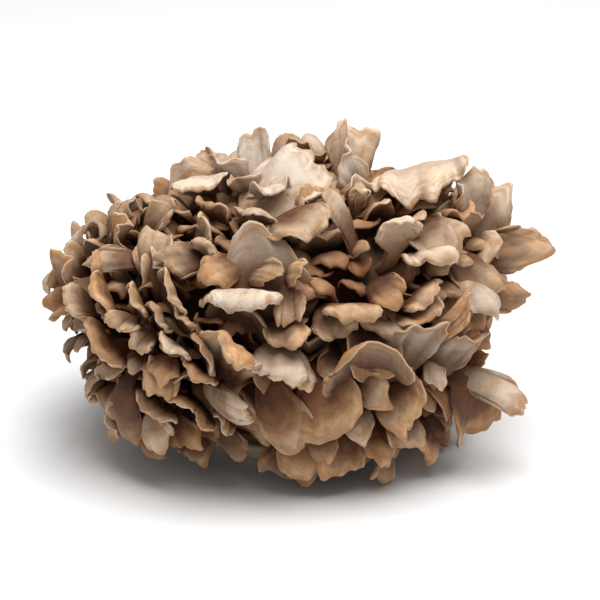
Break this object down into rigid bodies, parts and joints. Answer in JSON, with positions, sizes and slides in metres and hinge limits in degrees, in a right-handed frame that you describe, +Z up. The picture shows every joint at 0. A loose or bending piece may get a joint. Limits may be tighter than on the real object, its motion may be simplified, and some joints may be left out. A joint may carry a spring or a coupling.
{
  "type": "maitake mushroom",
  "caption": "Maitake (hen of the woods) mushroom: a cluster of overlapping fan-shaped brown caps on branching stems from one flat-cut base.",
  "frame": {"origin": "on the surface the mushroom stands on, under the middle of its outline", "axes": "+Z up, +X along its longest side, towards the viewer's right; the side that the picture shows faces -Y"},
  "size_m": [0.2014, 0.1802, 0.1309],
  "materials": {
    "flesh": "matte, finely streaked"
  },
  "bodies": {
    "root": {"maitake": "flesh"}
  },
  "joints": []
}
